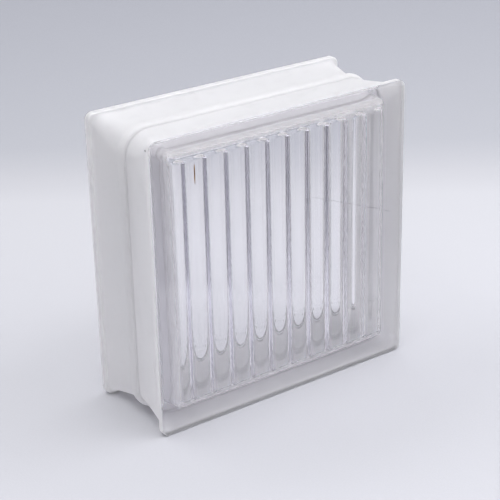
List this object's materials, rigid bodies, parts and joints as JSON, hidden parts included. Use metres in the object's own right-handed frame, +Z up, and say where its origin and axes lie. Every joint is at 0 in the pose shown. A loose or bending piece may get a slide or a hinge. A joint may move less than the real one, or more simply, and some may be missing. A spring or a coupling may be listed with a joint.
{
  "type": "glass block",
  "caption": "Square hollow glass wall block with vertical flutes inside both faces and white coated edges: square rims, a shallow mortar channel between them and a raised seam.",
  "frame": {"origin": "middle of the base, on the floor under the lower rims", "axes": "+Z up, -Y out of the front face, +X to the right when looking at the front face"},
  "size_m": [0.197, 0.076, 0.197],
  "materials": {
    "clear_glass": "clear pressed glass, fire-polished faces, fluted inner sides",
    "white_edge_coating": "thin white film that lets light through, satin"
  },
  "bodies": {
    "root": {"front_half": "clear_glass", "back_half": "clear_glass", "edge_coating": "white_edge_coating"}
  },
  "joints": []
}
